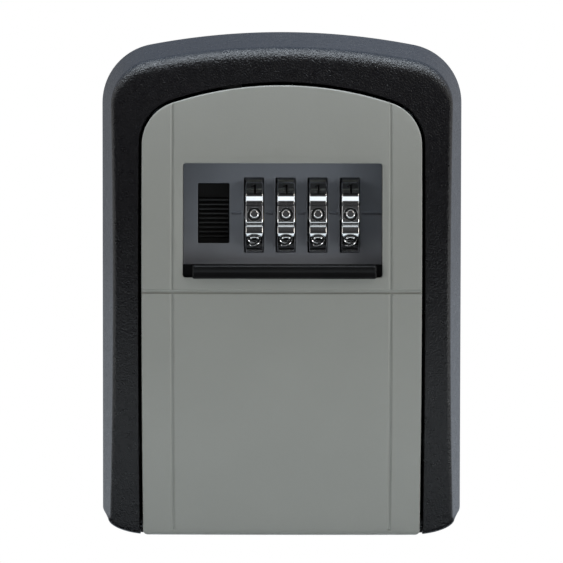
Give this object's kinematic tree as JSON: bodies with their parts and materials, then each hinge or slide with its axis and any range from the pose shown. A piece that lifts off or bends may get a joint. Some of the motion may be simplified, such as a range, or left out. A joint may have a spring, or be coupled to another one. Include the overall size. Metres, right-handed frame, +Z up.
{
  "type": "key lock box",
  "caption": "Wall-mounted key lock box: arched black casing, grey bottom-hinged door, number dials in a recess with a sliding shutter, and a sprung thumb latch.",
  "frame": {"origin": "centre of the flat back face, which lies against the wall", "axes": "+Y into the wall, -Y out of the front, +Z up, +X to the right seen from the front"},
  "size_m": [0.085, 0.0353, 0.118],
  "materials": {
    "casing_coat": "fine-textured black powder coat",
    "door_coat": "satin silver-grey paint, very fine texture",
    "panel_coat": "satin blue-grey paint",
    "shutter_plastic": "fine satin moulded plastic",
    "slide_plastic": "ribbed moulded plastic",
    "dial_chrome": "polished chrome plating, engraved digits filled black",
    "steel": "zinc-plated steel",
    "cast_zinc": "as-cast zinc alloy",
    "brass": "turned brass"
  },
  "bodies": {
    "casing": {"casing": "casing_coat", "strike_plate": "steel", "strike_screw_1": "steel", "strike_screw_2": "steel", "hinge_pin": "steel"},
    "door": {"door_shell": "door_coat", "shutter_guide": "steel", "guide_screw_1": "steel", "guide_screw_2": "steel", "guide_screw_3": "steel", "guide_screw_4": "steel", "lock_panel": "panel_coat", "lock_housing": "cast_zinc", "lock_cover": "steel", "cover_screw_1": "steel", "cover_screw_2": "steel", "cover_screw_3": "steel", "cover_screw_4": "steel", "housing_screw_1": "steel", "housing_screw_2": "steel", "housing_screw_3": "steel", "housing_screw_4": "steel", "dial_shaft": "steel", "shaft_clip_1": "steel", "shaft_clip_2": "steel", "detent_spring": "steel", "latch_spring": "steel"},
    "shutter": {"shutter": "shutter_plastic"},
    "latch": {"thumb_slide": "slide_plastic", "latch_bolt": "steel", "locking_comb": "steel", "latch_rivet_1": "brass", "latch_rivet_2": "brass"},
    "dial_1_wheel": {"dial_1": "dial_chrome", "dial_sleeve_1": "brass"},
    "dial_2_wheel": {"dial_2": "dial_chrome", "dial_sleeve_2": "brass"},
    "dial_3_wheel": {"dial_3": "dial_chrome", "dial_sleeve_3": "brass"},
    "dial_4_wheel": {"dial_4": "dial_chrome", "dial_sleeve_4": "brass"},
    "reset": {"reset_lever": "slide_plastic"}
  },
  "joints": [
    {"name": "door_hinge", "type": "hinge", "parent": "casing", "child": "door", "pos_m": [0, -0.0205, -0.0556], "axis": [1, 0, 0], "range_deg": [0, 100]},
    {"name": "shutter_slide", "type": "hinge", "parent": "door", "child": "shutter", "pos_m": [0, 0.1325, 0.00087], "axis": [-1, 0, 0], "range_deg": [0, 7.9]},
    {"name": "latch_slide", "type": "slide", "parent": "door", "child": "latch", "axis": [0, -0.095, -0.9955], "range_m": [0, 0.0038], "stiffness_N_per_m": 300, "springref_m": -0.005, "deforming": ["latch_spring"]},
    {"name": "dial_1_turn", "type": "hinge", "parent": "door", "child": "dial_1_wheel", "pos_m": [-0.00632, -0.02041, 0.01545], "axis": [1, 0, 0], "continuous": true},
    {"name": "dial_2_turn", "type": "hinge", "parent": "door", "child": "dial_2_wheel", "pos_m": [0.00099, -0.02041, 0.01545], "axis": [1, 0, 0], "continuous": true},
    {"name": "dial_3_turn", "type": "hinge", "parent": "door", "child": "dial_3_wheel", "pos_m": [0.00836, -0.02041, 0.01545], "axis": [1, 0, 0], "continuous": true},
    {"name": "dial_4_turn", "type": "hinge", "parent": "door", "child": "dial_4_wheel", "pos_m": [0.01583, -0.02041, 0.01545], "axis": [1, 0, 0], "continuous": true},
    {"name": "reset_slide", "type": "slide", "parent": "door", "child": "reset", "axis": [1, 0, 0], "range_m": [0, 0.0035]}
  ]
}
